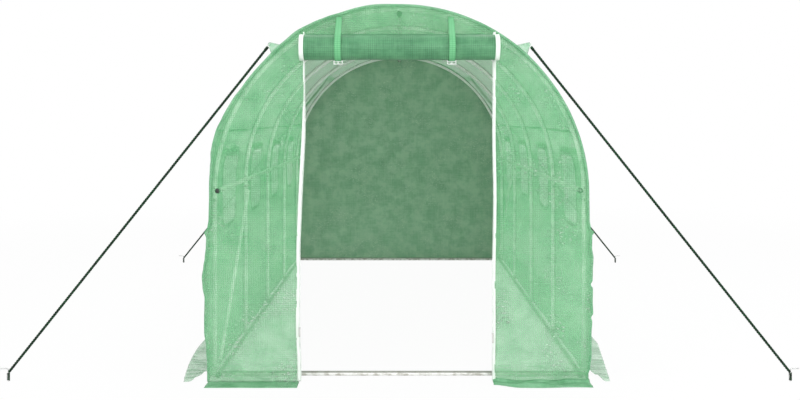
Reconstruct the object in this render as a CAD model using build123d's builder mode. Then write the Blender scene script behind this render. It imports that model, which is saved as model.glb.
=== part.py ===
import os
from math import acos, atan2, cos, degrees, hypot, radians, sin

from build123d import *

# Polytunnel greenhouse: bolted steel hoops under a woven sheet cover, with a roll-up door.
# X runs across the tunnel, Y along it with the door end at -Y, and Z is up from the ground.

# Driving sizes, in millimetres
tunnel_length = 4000.0  # over the two end hoops
tunnel_width = 2000.0  # over the hoop legs
leg_height = 972.5  # straight legs, up to where the arch springs
bay_count = 4
tube_d = 25.0
touch_gap = 0.3  # running clearance between pieces that lie against each other

# Purlins and rails that tie the hoops together
purlin_overrun = 28.0  # past the outer face of the end hoops
side_purlin_angle = 1.3  # degrees above the springing line
cap_d = 29.0  # push-on plastic cap
cap_length = 8.0
rail_height = 15.0  # centre of the ground rails

# Diagonal braces
brace_d = 20.0
brace_tab_length = 45.0
brace_tab_width = 24.0
brace_tab_t = 4.0
brace_foot_z = 45.0  # bolt at the brace's foot
brace_head_drop = 27.5  # bolt at the brace's head, below the top of the leg

# Woven sheet cover
fabric_t = 3.0
end_overhang = 45.0  # cover past the end hoops
roof_start_angle = 20.0  # seam between wall and roof, degrees above the springing line
ground_flap = 208.0  # strip that lies on the ground along each side
flap_corner_x = 114.0  # narrowed end of the side strip
flap_corner_y = 74.0
flap_root_y = 150.0  # strip's inner end from the end of the cover
flap_taper_length = 740.0
end_flap = 168.0  # strip that lies on the ground at each end

# Doorway, its zips and the rolled-up door
door_width = 990.0
zip_width = 25.0
header_height = 153.0  # sheet over the doorway, at its middle
roll_d = 146.0
roll_inset = 2.0  # end of the roll from the outer edge of each zip
strap_xs = (-318.0, 272.0)
strap_width = 32.0
strap_t = 2.0
strap_drop = 62.0  # sewn end of the strap, below the crown
strap_wrap = 205.0  # degrees of the roll that the strap goes round

# Side windows: a net in the opening and a curtain rolled up above it
window_width = 420.0
window_height = 405.0
window_rise = 197.5  # window's top edge above the springing line
window_corner_r = 70.0
net_t = 2.0
curtain_d = 45.0
curtain_length = 500.0
curtain_rise = 22.0  # curtain's centre above the window's top edge

# Guy ropes, their fabric tabs and the steel pegs
tab_start_angle = 47.5
tab_tip_angle = 49.0
tab_end_angle = 52.5
tab_height = 58.0
tab_tip_width = 12.0
tab_inset = 5.0  # tab's outer face from the end of the cover
rope_d = 12.0
rope_tab_share = 0.8  # where on the tab's free edge the rope is tied
peg_x = 2050.0
front_peg_y = -2085.0
rear_peg_y = 1845.0
peg_d = 6.0
peg_height = 70.0
peg_arm = 45.0
peg_bend_r = 9.0
rope_end_z = 45.0

# Values that follow from the driving sizes
tube_r = tube_d / 2
hoop_radius = (tunnel_width - tube_d) / 2
end_hoop_y = (tunnel_length - tube_d) / 2
bay_length = 2 * end_hoop_y / bay_count
hoop_ys = [-end_hoop_y + i * bay_length for i in range(bay_count + 1)]
bay_centres = [y + bay_length / 2 for y in hoop_ys[:-1]]
purlin_ring = hoop_radius - tube_d - touch_gap
purlin_end_y = tunnel_length / 2 + purlin_overrun
cover_r_in = tunnel_width / 2 + touch_gap
cover_r_out = cover_r_in + fabric_t
cover_end_y = tunnel_length / 2 + end_overhang
door_half = door_width / 2
zip_edge = door_half + zip_width
window_top_z = leg_height + window_rise
window_mid_z = window_top_z - window_height / 2
crown_z = leg_height + cover_r_out
header_z = crown_z - header_height
strap_top_z = crown_z - strap_drop
brace_head_z = leg_height - brace_head_drop

os.makedirs("parts", exist_ok=True)


def save(builder, name):
    """Label a finished piece and write its STEP file."""
    builder.part.label = name
    export_step(builder.part, f"parts/{name}.step")


def polar(radius, angle):
    """Point in the hoop plane at an angle above the springing line."""
    return (radius * cos(radians(angle)), leg_height + radius * sin(radians(angle)))


# Hoops: a half-round arch standing on two straight legs
for number, y in enumerate(hoop_ys, start=1):
    with BuildPart() as arch:
        with BuildSketch(Plane.XY.offset(leg_height)):
            with Locations((hoop_radius, y)):
                Circle(tube_r)
        revolve(axis=Axis((0, y, leg_height), (0, -1, 0)), revolution_arc=180)
    save(arch, f"arch_{number}")
    for side, sign in (("left", -1), ("right", 1)):
        with BuildPart() as leg:
            with BuildSketch():
                with Locations((sign * hoop_radius, y)):
                    Circle(tube_r)
            extrude(amount=leg_height)
        save(leg, f"{side}_leg_{number}")

# Purlins and ground rails: straight tubes inside the hoops, from end to end
side_x, side_z = polar(purlin_ring, side_purlin_angle)
long_tubes = {
    "ridge_purlin": polar(purlin_ring, 90),
    "left_side_purlin": (-side_x, side_z),
    "right_side_purlin": (side_x, side_z),
    "left_ground_rail": (-purlin_ring, rail_height),
    "right_ground_rail": (purlin_ring, rail_height),
}
for name, centre in long_tubes.items():
    with BuildPart() as purlin:
        with BuildSketch(Plane.XZ):
            with Locations(centre):
                Circle(tube_r)
        extrude(amount=purlin_end_y, both=True)
    save(purlin, name)

# Push-on caps on both ends of every long tube
with BuildPart() as tube_caps:
    for end in (-1, 1):
        with BuildSketch(Plane.XZ.offset(-end * purlin_end_y)):
            with Locations(*long_tubes.values()):
                Circle(cap_d / 2)
        extrude(amount=-end * cap_length)
save(tube_caps, "tube_caps")

# Ground bars across both ends, between the ground rails
bar_half = purlin_ring - tube_r - touch_gap
with BuildPart() as ground_bars:
    with BuildSketch(Plane.YZ):
        with Locations((-end_hoop_y, rail_height), (end_hoop_y, rail_height)):
            Circle(tube_r)
    extrude(amount=bar_half, both=True)
save(ground_bars, "ground_bars")

# Diagonal braces: a tube with flattened ends, bolted to the inside of two legs
brace_x = hoop_radius - tube_r - touch_gap - brace_d / 2
brace_tab_x = hoop_radius - tube_r - touch_gap
for name, sign, foot_y, head_y in (
    ("front_left_brace", -1, hoop_ys[0], hoop_ys[1]),
    ("rear_right_brace", 1, hoop_ys[-1], hoop_ys[-2]),
):
    run, rise = head_y - foot_y, brace_head_z - brace_foot_z
    brace_length = hypot(run, rise)
    slope = degrees(atan2(rise, run))
    tube_start = Vector(sign * brace_x, foot_y, brace_foot_z)
    along = Vector(0, run, rise).normalized()
    with BuildPart() as brace:
        with BuildSketch(Plane(origin=tube_start + along * brace_tab_length, z_dir=along)):
            Circle(brace_d / 2)
        extrude(amount=brace_length - 2 * brace_tab_length)
        for y, z, lean in (
            (foot_y, brace_foot_z, slope),
            (head_y, brace_head_z, slope + 180),
        ):
            tab_plane = Plane(origin=(sign * brace_tab_x, 0, 0), x_dir=(0, 1, 0), z_dir=(1, 0, 0))
            reach = brace_tab_length + brace_d / 2
            middle = (y + reach / 2 * cos(radians(lean)), z + reach / 2 * sin(radians(lean)))
            with BuildSketch(tab_plane):
                with Locations(middle):
                    SlotOverall(reach + brace_tab_width, brace_tab_width, rotation=lean)
            extrude(amount=-sign * brace_tab_t)
    save(brace, name)

# Roof sheet: bent over the hoops between the two wall seams
with BuildPart() as roof_cover:
    with BuildSketch(Plane.XZ):
        with BuildLine():
            roof_sweep = 180 - 2 * roof_start_angle
            outer = CenterArc((0, leg_height), cover_r_out, roof_start_angle, roof_sweep)
            inner = CenterArc((0, leg_height), cover_r_in, roof_start_angle, roof_sweep)
            Line(outer @ 0, inner @ 0)
            Line(outer @ 1, inner @ 1)
        make_face()
    extrude(amount=cover_end_y, both=True)
save(roof_cover, "roof_cover")


def wall_profile(radius_in, radius_out):
    """Section of a side wall: straight beside the legs, then bent to the roof seam."""
    with BuildLine() as outline:
        outer = CenterArc((0, leg_height), radius_out, 0, roof_start_angle)
        inner = CenterArc((0, leg_height), radius_in, 0, roof_start_angle)
        Line(outer @ 1, inner @ 1)
        Polyline(outer @ 0, (radius_out, fabric_t), (radius_in, fabric_t), inner @ 0)
    return outline.line


window_plane = Plane.YZ.offset(cover_r_in * cos(radians(roof_start_angle)))
window_spots = [(y, window_mid_z) for y in bay_centres]

# Side walls, with one window opening in each bay
with BuildPart() as right_wall:
    with BuildSketch(Plane.XZ):
        make_face(wall_profile(cover_r_in, cover_r_out))
    extrude(amount=cover_end_y, both=True)
    with BuildSketch(window_plane):
        with Locations(*window_spots):
            RectangleRounded(window_width, window_height, window_corner_r)
    extrude(amount=tunnel_width, mode=Mode.SUBTRACT)
save(right_wall, "right_wall_cover")
with BuildPart() as left_wall:
    mirror(right_wall.part, about=Plane.YZ)
save(left_wall, "left_wall_cover")

# Window nets: thin panels that fill the openings of one side
net_inset = (fabric_t - net_t) / 2
with BuildPart() as right_nets:
    with BuildSketch(Plane.XZ):
        make_face(wall_profile(cover_r_in + net_inset, cover_r_out - net_inset))
    extrude(amount=cover_end_y, both=True)
    with BuildSketch(window_plane):
        with Locations(*window_spots):
            RectangleRounded(
                window_width - 2 * touch_gap,
                window_height - 2 * touch_gap,
                window_corner_r - touch_gap,
            )
    extrude(amount=tunnel_width, mode=Mode.INTERSECT)
save(right_nets, "right_window_nets")
with BuildPart() as left_nets:
    mirror(right_nets.part, about=Plane.YZ)
save(left_nets, "left_window_nets")

# Curtains rolled up above the windows, lying on the outside of the wall
curtain_ring = cover_r_out + touch_gap + curtain_d / 2
curtain_z = window_top_z + curtain_rise
curtain_angle = 90 - degrees(acos((curtain_z - leg_height) / curtain_ring))
with BuildPart() as right_curtains:
    for y in bay_centres:
        with BuildSketch(Plane.XZ.offset(-y)):
            with Locations(polar(curtain_ring, curtain_angle)):
                Circle(curtain_d / 2)
        extrude(amount=curtain_length / 2, both=True)
save(right_curtains, "right_window_curtains")
with BuildPart() as left_curtains:
    mirror(right_curtains.part, about=Plane.YZ)
save(left_curtains, "left_window_curtains")


def end_outline():
    """Outline of an end sheet: straight beside the legs, half-round over them."""
    with Locations((0, (leg_height + fabric_t) / 2)):
        Rectangle(2 * cover_r_out, leg_height - fabric_t)
    with Locations((0, leg_height)):
        Circle(cover_r_out)


def keep_box(x_low, x_high, z_low, z_high):
    """Keep only this part of the sketch."""
    with Locations(((x_low + x_high) / 2, (z_low + z_high) / 2)):
        Rectangle(x_high - x_low, z_high - z_low, mode=Mode.INTERSECT)


front_plane = Plane.XZ.offset(cover_end_y)

# Door end: a panel each side of the doorway, and the sheet over the doorway
for name, x_low, x_high, z_low in (
    ("front_left_panel", -cover_r_out, -zip_edge, fabric_t),
    ("front_right_panel", zip_edge, cover_r_out, fabric_t),
    ("door_header", -door_half, door_half, header_z),
):
    with BuildPart() as front_sheet:
        with BuildSketch(front_plane):
            end_outline()
            keep_box(x_low, x_high, z_low, crown_z)
        extrude(amount=fabric_t)
    save(front_sheet, name)

# Zips down both edges of the doorway
with BuildPart() as door_zips:
    with BuildSketch(front_plane):
        end_outline()
        keep_box(-zip_edge, zip_edge, fabric_t, crown_z)
        with Locations((0, crown_z / 2)):
            Rectangle(door_width, crown_z, mode=Mode.SUBTRACT)
    extrude(amount=fabric_t)
save(door_zips, "door_zips")

# Closed rear end: one sheet
with BuildPart() as rear_panel:
    with BuildSketch(Plane.XZ.offset(-cover_end_y)):
        end_outline()
        keep_box(-cover_r_out, cover_r_out, fabric_t, crown_z)
    extrude(amount=-fabric_t)
save(rear_panel, "rear_panel")

# Strips of the cover that lie flat on the ground, ready to be weighed down
with BuildPart() as right_ground_flap:
    with BuildSketch():
        with BuildLine():
            flap_start_y = cover_end_y - flap_root_y
            flap_corner = (cover_r_in + flap_corner_x, cover_end_y + flap_corner_y)
            flap_full = (cover_r_in + ground_flap, cover_end_y - flap_taper_length)
            Polyline(
                (cover_r_in, -flap_start_y),
                (flap_corner[0], -flap_corner[1]),
                (flap_full[0], -flap_full[1]),
                flap_full,
                flap_corner,
                (cover_r_in, flap_start_y),
                close=True,
            )
        make_face()
    extrude(amount=fabric_t)
save(right_ground_flap, "right_ground_flap")
with BuildPart() as left_ground_flap:
    mirror(right_ground_flap.part, about=Plane.YZ)
save(left_ground_flap, "left_ground_flap")

with BuildPart() as front_ground_flaps:
    with BuildSketch():
        for sign in (-1, 1):
            with Locations((sign * (zip_edge + cover_r_out) / 2, -cover_end_y - end_flap / 2)):
                Rectangle(cover_r_out - zip_edge, end_flap)
    extrude(amount=fabric_t)
save(front_ground_flaps, "front_ground_flaps")

with BuildPart() as rear_ground_flap:
    with BuildSketch():
        with Locations((0, cover_end_y + end_flap / 2)):
            Rectangle(2 * cover_r_out, end_flap)
    extrude(amount=fabric_t)
save(rear_ground_flap, "rear_ground_flap")

# Door rolled up in front of the doorway's head
roll_r = roll_d / 2
roll_y = -cover_end_y - fabric_t - touch_gap - roll_r
roll_z = header_z - roll_r
with BuildPart() as rolled_door:
    with BuildSketch(Plane.YZ):
        with Locations((roll_y, roll_z)):
            Circle(roll_r)
    extrude(amount=zip_edge - roll_inset, both=True)
save(rolled_door, "rolled_door")

# Straps: sewn high on the header, pulled over the front of the roll and under it
strap_ring = roll_r + touch_gap + strap_t / 2
strap_top_y = -cover_end_y - fabric_t - touch_gap - strap_t / 2
to_roll_y, to_roll_z = strap_top_y - roll_y, strap_top_z - roll_z
strap_turn = degrees(atan2(to_roll_z, to_roll_y)) + degrees(
    acos(strap_ring / hypot(to_roll_y, to_roll_z))
)
with BuildPart() as door_straps:
    for x in strap_xs:
        with BuildSketch(Plane.YZ.offset(x)):
            with BuildLine() as strap_route:
                wrap = CenterArc((roll_y, roll_z), strap_ring, strap_turn, strap_wrap)
                Line((strap_top_y, strap_top_z), wrap @ 0)
            trace(strap_route.line, strap_t)
        extrude(amount=strap_width / 2, both=True)
save(door_straps, "door_straps")

# Guy tabs, ropes and pegs, one set at each corner
tab_r = cover_r_out + touch_gap
tab_foot = polar(tab_r, tab_start_angle)
tab_tip = polar(tab_r + tab_height, tab_tip_angle)
tip_share = tab_tip_width / (tab_r + tab_height)
tab_tip_back = polar(tab_r + tab_height, tab_tip_angle + degrees(tip_share))
tab_y = cover_end_y - tab_inset - fabric_t / 2
tab_edge_x, tab_edge_z = tab_tip[0] - tab_foot[0], tab_tip[1] - tab_foot[1]
tie_x = tab_foot[0] + tab_edge_x * rope_tab_share
tie_z = tab_foot[1] + tab_edge_z * rope_tab_share

with BuildPart() as guy_tabs:
    for end in (-1, 1):
        with BuildSketch(Plane.XZ.offset(-end * tab_y)):
            with BuildLine():
                base = CenterArc(
                    (0, leg_height), tab_r, tab_start_angle, tab_end_angle - tab_start_angle
                )
                Polyline(base @ 0, tab_tip, tab_tip_back, base @ 1)
            make_face()
            mirror(about=Plane.YZ)
        extrude(amount=fabric_t / 2, both=True)
save(guy_tabs, "guy_tabs")

# Each rope runs straight from its tab's free edge to its peg
rope_r = rope_d / 2
with BuildPart() as guy_ropes:
    for side in (-1, 1):
        for tie_y, peg_y in ((-tab_y, front_peg_y), (tab_y, rear_peg_y)):
            tie = Vector(side * tie_x, tie_y, tie_z)
            foot = Vector(side * peg_x, peg_y, rope_end_z)
            direction = (foot - tie).normalized()
            edge_normal = Vector(side * tab_edge_z, 0, -tab_edge_x)
            tie_lean = radians(direction.get_angle(edge_normal))
            start_clear = (touch_gap + rope_r * sin(tie_lean)) / cos(tie_lean)
            peg_lean = radians(direction.get_angle(Vector(side, 0, 0)))
            end_clear = (peg_d / 2 + touch_gap + rope_r * sin(peg_lean)) / cos(peg_lean)
            rope_length = (foot - tie).length - start_clear - end_clear
            with BuildSketch(Plane(origin=tie + direction * start_clear, z_dir=direction)):
                Circle(rope_r)
            extrude(amount=rope_length)
save(guy_ropes, "guy_ropes")

# Pegs: bent wire hooks, from the ground up
with BuildPart() as ground_pegs:
    for side in (-1, 1):
        for peg_y in (front_peg_y, rear_peg_y):
            with BuildLine() as peg_line:
                FilletPolyline(
                    (side * peg_x, peg_y, 0),
                    (side * peg_x, peg_y, peg_height - peg_d / 2),
                    (side * (peg_x + peg_arm), peg_y, peg_height - peg_d / 2),
                    radius=peg_bend_r,
                )
            with BuildSketch():
                with Locations((side * peg_x, peg_y)):
                    Circle(peg_d / 2)
            sweep(path=peg_line.line)
save(ground_pegs, "ground_pegs")
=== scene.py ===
from math import acos, asin, atan2, copysign, cos, hypot, pi, radians, sin, sqrt

import bmesh
import bpy
from mathutils import Matrix, Vector, noise


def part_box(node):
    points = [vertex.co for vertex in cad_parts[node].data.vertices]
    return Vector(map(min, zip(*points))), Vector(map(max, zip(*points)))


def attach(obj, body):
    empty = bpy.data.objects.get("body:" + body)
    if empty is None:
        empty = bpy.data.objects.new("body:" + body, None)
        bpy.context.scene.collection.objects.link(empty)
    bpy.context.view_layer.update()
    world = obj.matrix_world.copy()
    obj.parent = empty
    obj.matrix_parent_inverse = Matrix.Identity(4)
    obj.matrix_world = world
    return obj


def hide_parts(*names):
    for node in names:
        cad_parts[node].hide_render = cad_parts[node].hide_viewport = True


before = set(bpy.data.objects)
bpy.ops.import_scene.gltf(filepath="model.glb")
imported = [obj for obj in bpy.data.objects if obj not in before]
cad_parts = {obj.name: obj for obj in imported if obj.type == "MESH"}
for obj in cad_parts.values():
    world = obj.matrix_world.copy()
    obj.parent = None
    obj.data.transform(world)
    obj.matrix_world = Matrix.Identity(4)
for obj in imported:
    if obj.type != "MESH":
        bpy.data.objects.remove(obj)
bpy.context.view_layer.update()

# The frame: hoops, purlins, rails, bars and braces of drawn steel tube. Each tube is cut and bent,
# drilled for its bolts and powder-coated white, with a faint orange-peel texture in the coat.


def tint(red, green, blue):
    """A colour read off a screen, from 0 to 255, as the linear values that a shader takes."""
    shares = [value / 255 for value in (red, green, blue)]
    return (*[s / 12.92 if s <= 0.04045 else ((s + 0.055) / 1.055) ** 2.4 for s in shares], 1.0)


plain_white = (1, 1, 1, 1)


class Socket:
    """An output of a shader node. Arithmetic written with it becomes Math nodes."""

    def __init__(self, paint, link):
        self.paint = paint
        self.link = link

    def __add__(self, other):
        return self.paint.math("ADD", self, other)

    def __sub__(self, other):
        return self.paint.math("SUBTRACT", self, other)

    def __rsub__(self, other):
        return self.paint.math("SUBTRACT", other, self)

    def __mul__(self, other):
        return self.paint.math("MULTIPLY", self, other)

    __radd__ = __add__
    __rmul__ = __mul__


class Paint:
    """One finish, or the world, built node by node; close() joins its shader to the output."""

    def __init__(self, name, shelf=bpy.data.materials):
        self.owner = shelf.new(name)
        self.owner.use_nodes = True
        self.tree = self.owner.node_tree
        self.tree.nodes.clear()

    def node(self, kind, settings=None, inputs=None, output=0):
        """Add one node: first its settings, then the values or links of its sockets."""
        made = self.tree.nodes.new(kind)
        for key, value in (settings or {}).items():
            setattr(made, key, value)
        for key, value in (inputs or {}).items():
            if isinstance(value, Socket):
                self.tree.links.new(value.link, made.inputs[key])
            else:
                made.inputs[key].default_value = value
        return Socket(self, made.outputs[output]) if made.outputs else None

    def math(self, operation, *values):
        return self.node("ShaderNodeMath", {"operation": operation}, dict(enumerate(values)))

    def place(self, space="Object", stretch=(1, 1, 1)):
        """Coordinates in metres, fixed to the piece (Object) or to its flat cut (UV)."""
        coords = self.node("ShaderNodeTexCoord", output=space)
        return self.node("ShaderNodeMapping", None, {"Vector": coords, "Scale": stretch})

    def split(self, vector, axis):
        return self.node("ShaderNodeSeparateXYZ", None, {0: vector}, output=axis)

    def fuzz(self, place, size, detail=2.0, rough=0.5):
        """Soft noise from 0 to 1 with features of this size in metres."""
        sockets = {"Vector": place, "Scale": 1 / size, "Detail": detail, "Roughness": rough}
        return self.node("ShaderNodeTexNoise", None, sockets)

    def step(self, value, low, high, start=0.0, end=1.0):
        """A smooth step of value from low to high."""
        ends = {"From Min": low, "From Max": high, "To Min": start, "To Max": end}
        return self.node(
            "ShaderNodeMapRange", {"interpolation_type": "SMOOTHSTEP"}, {"Value": value, **ends}
        )

    def mix(self, factor, one, other):
        return self.node(
            "ShaderNodeMix", {"data_type": "RGBA"}, {0: factor, 6: one, 7: other}, output=2
        )

    def bump(self, height, reach):
        return self.node("ShaderNodeBump", None, {"Height": height, "Distance": reach})

    def stripes(self, value, pitch, width):
        """Lines of this width, repeated at this pitch, as a mask."""
        across = self.math("PINGPONG", value, pitch / 2)
        return 1 - self.step(across, width * 0.3, width * 0.7)

    def principled(self, sockets):
        return self.node("ShaderNodeBsdfPrincipled", None, sockets)

    def clear(self):
        return self.node("ShaderNodeBsdfTransparent", None, {"Color": plain_white})

    def blend(self, share, shader, other):
        """Two shaders; the share is that of the other one."""
        return self.node("ShaderNodeMixShader", None, {0: share, 1: shader, 2: other})

    def close(self, shader, output="ShaderNodeOutputMaterial"):
        self.node(output, None, {"Surface": shader})
        return self.owner


def powder_coat(name, top_reflection=0.0):
    """White powder coat, a little greyer where it was handled and darker towards the ground; a low
    tube has a painted dark reflection along its top.
    """
    paint = Paint(name)
    place = paint.place()
    handled = paint.step(paint.fuzz(place, 0.11, 4.0, 0.6), 0.52, 0.72)
    # darker towards the ground, within 7 cm of it, in patches
    low_darkening = 1 - paint.step(paint.split(place, 2), 0.0, 0.07)
    low_darkening = low_darkening * (0.3 + paint.step(paint.fuzz(place, 0.03, 3.0), 0.4, 0.7))
    white = paint.mix(handled * 0.35, tint(243, 243, 241), tint(222, 223, 219))
    colour = paint.mix(low_darkening * 0.8, white, tint(172, 170, 160))
    # painted reflection: the top of a low tube is darkened, standing in for the dark surroundings
    # reflected there
    dust_and_reflection = paint.step(paint.split(place, 2), 0.017, 0.0225) * top_reflection
    colour = paint.mix(dust_and_reflection, colour, tint(112, 112, 104))
    peel = paint.fuzz(place, 0.0016, 1.0)
    sockets = {
        "Base Color": colour,
        "Roughness": 0.3 + 0.16 * handled,
        "Specular IOR Level": 0.5,
        "Normal": paint.bump(peel, 0.00006),
    }
    return paint.close(paint.principled(sockets))


tube_finish = powder_coat("powder_coat")
low_tube_finish = powder_coat("top_reflection_coat", 0.8)
low_tubes = ["left_ground_rail", "right_ground_rail", "ground_bars"]
long_tubes = ["ridge_purlin", "left_side_purlin", "right_side_purlin", *low_tubes[:2]]
tube_nodes = long_tubes + ["ground_bars", "front_left_brace", "rear_right_brace"]
for hoop in range(1, 6):
    tube_nodes += [f"arch_{hoop}", f"left_leg_{hoop}", f"right_leg_{hoop}"]
for node in tube_nodes:
    coat = low_tube_finish if node in low_tubes else tube_finish
    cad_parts[node].data.materials.clear()
    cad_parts[node].data.materials.append(coat)


def centre_of(node):
    low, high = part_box(node)
    return (low + high) / 2


def lathe(profile, steps=24):
    """Turn a profile of (radius, height) points about the Z axis."""
    bm = bmesh.new()
    points = [bm.verts.new((radius, 0, height)) for radius, height in profile]
    edges = [bm.edges.new(pair) for pair in zip(points, points[1:])]
    around = {"cent": (0, 0, 0), "axis": (0, 0, 1), "angle": 2 * pi}
    bmesh.ops.spin(bm, geom=points + edges, steps=steps, use_merge=True, **around)
    bmesh.ops.remove_doubles(bm, verts=bm.verts, dist=1e-6)
    bmesh.ops.recalc_face_normals(bm, faces=bm.faces)
    return bm


def stamp(bm, shape, places):
    """Add a copy of a small shape to a piece at each place."""
    pattern = bpy.data.meshes.new("pattern")
    shape.to_mesh(pattern)
    for place in places:
        copy = pattern.copy()
        copy.transform(place)
        bm.from_mesh(copy)
        bpy.data.meshes.remove(copy)
    bpy.data.meshes.remove(pattern)


def join(bm, part):
    """Move the whole of a part's mesh into a piece."""
    stamp(bm, part, [Matrix.Identity(4)])
    part.free()


def face_up(bm):
    """Turn the faces of a flat-laid sheet upwards."""
    bm.normal_update()
    bmesh.ops.reverse_faces(bm, faces=[face for face in bm.faces if face.normal.z < 0])


def facing(point, direction):
    """The place of a shape whose own Z axis points in a direction, at a point."""
    turn = Vector(direction).to_track_quat("Z", "Y").to_matrix().to_4x4()
    return Matrix.Translation(point) @ turn


def add_object(name, data):
    made = bpy.data.objects.new(name, data)
    bpy.context.scene.collection.objects.link(made)
    return made


def piece(bm, name, material, replaces=(), thickness=0.0, offset=1.0, rounded=True):
    """Make the object of a finished mesh: it rides on the frame and takes the slot's finish.

    A sheet's mesh is a bare surface, and a modifier gives it its thickness.
    """
    mesh = bpy.data.meshes.new(name)
    bm.to_mesh(mesh)
    bm.free()
    for face in mesh.polygons:
        face.use_smooth = rounded
    made = add_object(name, mesh)
    made.data.materials.append(material)
    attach(made, "root")
    if replaces:
        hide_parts(*replaces)
    if thickness:
        shell = made.modifiers.new("thickness", "SOLIDIFY")
        shell.thickness = thickness
        shell.offset = offset
    return made


def bevel_edges(made, width):
    """Round the sharp edges of a hard piece."""
    bevel = made.modifiers.new("rounded", "BEVEL")
    bevel.width = width
    bevel.segments = 2
    bevel.limit_method = "ANGLE"
    bevel.harden_normals = True


# Caps: black plastic caps pushed over the ends of the purlins and rails, moulded with a domed
# face and a lip. The cap of the left side purlin pokes out through an eyelet in each end.


def black_plastic():
    paint = Paint("black_plastic")
    grain = paint.fuzz(paint.place(), 0.0012, 2.0)
    dust_and_reflection = paint.fuzz(paint.place(), 0.02, 3.0)
    sockets = {
        "Base Color": paint.mix(dust_and_reflection * 0.3, tint(14, 22, 16), tint(40, 52, 44)),
        "Roughness": 0.42 + 0.2 * dust_and_reflection,
        "Normal": paint.bump(grain, 0.00008),
    }
    return paint.close(paint.principled(sockets))


cap_r = 0.0145
cap_bore = 0.0126
cap_wall = 0.004
cap_lip = 0.001
cap_skirt = 0.016
cap_dome = 0.006
cap_poke = 0.009
cap_profile = [
    (0.0, cap_dome),
    (cap_r * 0.5, cap_dome * 0.86),
    (cap_r * 0.82, cap_dome * 0.5),
    (cap_r * 0.97, 0.0),
    (cap_r, -0.002),
    (cap_r, -cap_skirt + 0.003),
    (cap_r + cap_lip, -cap_skirt + 0.002),
    (cap_r + cap_lip, -cap_skirt),
    (cap_bore, -cap_skirt),
    (cap_bore, -cap_wall),
    (0.0, -cap_wall),
]
cap_low, cap_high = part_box("tube_caps")
bm = bmesh.new()
cap = lathe(cap_profile)
for node in long_tubes:
    centre = centre_of(node)
    for end, reach in ((-1, cap_low.y), (1, cap_high.y)):
        poking = cap_poke if node == "left_side_purlin" else -cap_dome - 0.001
        face_y = end * (abs(reach) + poking)
        stamp(bm, cap, [facing((centre.x, face_y, centre.z), (0, end, 0))])
cap.free()
piece(bm, "tube_end_caps", black_plastic(), ["tube_caps"])

# Bolts: zinc-plated flange nuts on the threaded ends that hold each purlin and rail to each hoop,
# the braces to the legs and the two halves of every hoop joint together.


def clouded(name, size, detail, one, other, rough, uneven, relief, metallic=0.0):
    """A hard finish clouded between two colours, with a roughness that goes with the clouds."""
    paint = Paint(name)
    cloud = paint.fuzz(paint.place(), size, detail)
    sockets = {
        "Base Color": paint.mix(cloud, one, other),
        "Metallic": metallic,
        "Roughness": rough + uneven * cloud,
        "Normal": paint.bump(cloud, relief),
    }
    return paint.close(paint.principled(sockets))


zinc_finish = clouded(
    "zinc_plate", 0.004, 3.0, tint(176, 178, 176), tint(206, 206, 200), 0.28, 0.22, 0.0001, 0.9
)
nut_r = 0.0058
nut_height = 0.005
flange_r = 0.0078
thread_r = 0.003
hoop_ys = [centre_of(f"arch_{hoop}").y for hoop in range(1, 6)]
spring_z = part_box("arch_1")[0].z
hoop_r = (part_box("arch_1")[1].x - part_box("arch_1")[0].x) / 2
tube_r = (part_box("arch_1")[1].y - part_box("arch_1")[0].y) / 2

nut = bmesh.new()
nut_sides = {"cap_ends": True, "segments": 6, "radius1": nut_r, "radius2": nut_r}
bmesh.ops.create_cone(nut, depth=nut_height, **nut_sides)
bmesh.ops.translate(nut, verts=nut.verts, vec=(0, 0, 0.0015 + nut_height / 2))
bmesh.ops.bevel(
    nut, geom=nut.edges[:], offset=0.0005, segments=1, profile=0.5, affect="EDGES", material=-1
)
join(nut, lathe([(0, 0), (flange_r, 0), (flange_r, 0.0009), (nut_r, 0.0018), (0, 0.0018)], 18))
thread = [(0, 0.002), (thread_r, 0.002), (thread_r, 0.009), (0.0024, 0.0098), (0, 0.0098)]
join(nut, lathe(thread, 10))

bolt_sink = 0.0004
bolt_places = []
for y in hoop_ys:
    for node in long_tubes:
        centre = centre_of(node)
        inward = (Vector((0, 0, spring_z)) - Vector((centre.x, 0, centre.z))).normalized()
        if node.endswith("rail"):
            inward = Vector((-copysign(1, centre.x), 0, 0))
        foot = Vector((centre.x, y, centre.z)) + inward * (tube_r - bolt_sink)
        bolt_places.append(facing(foot, inward))
    for side in (-1, 1):
        for rise in (-0.03, 0.035):
            foot = (side * (hoop_r - tube_r), y - tube_r + bolt_sink, spring_z + rise)
            bolt_places.append(facing(foot, (0, -1, 0)))
for node, side in (("front_left_brace", -1), ("rear_right_brace", 1)):
    low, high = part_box(node)
    leg_inner = hoop_r - 2 * tube_r
    for y in (hoop_ys[0], hoop_ys[1]) if side < 0 else (hoop_ys[4], hoop_ys[3]):
        outer_hoop = y in (hoop_ys[0], hoop_ys[4])
        z = low.z + 0.012 if outer_hoop else high.z - 0.012
        bolt_places.append(facing((side * (leg_inner - 0.0043), y, z), (-side, 0, 0)))
bm = bmesh.new()
stamp(bm, nut, bolt_places)
nut.free()
piece(bm, "frame_bolts", zinc_finish, rounded=False)

# Cover: woven strips of polyethylene tape, coated on both faces, with a scrim of thicker threads.
# The roof laps over the two walls at sewn seams; it hangs over the end hoops and creases freely.

cover_r = 1.0006
cover_t = 0.0012
over_wall = 0.0016
lap = 0.014
seam_turn = radians(20)
wall_run = spring_z + seam_turn * cover_r
half_run = spring_z + pi / 2 * cover_r
end_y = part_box("roof_cover")[1].y
end_lean = 0.058
bay = hoop_ys[1] - hoop_ys[0]
both_sides = ((-1, "left"), (1, "right"))


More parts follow.
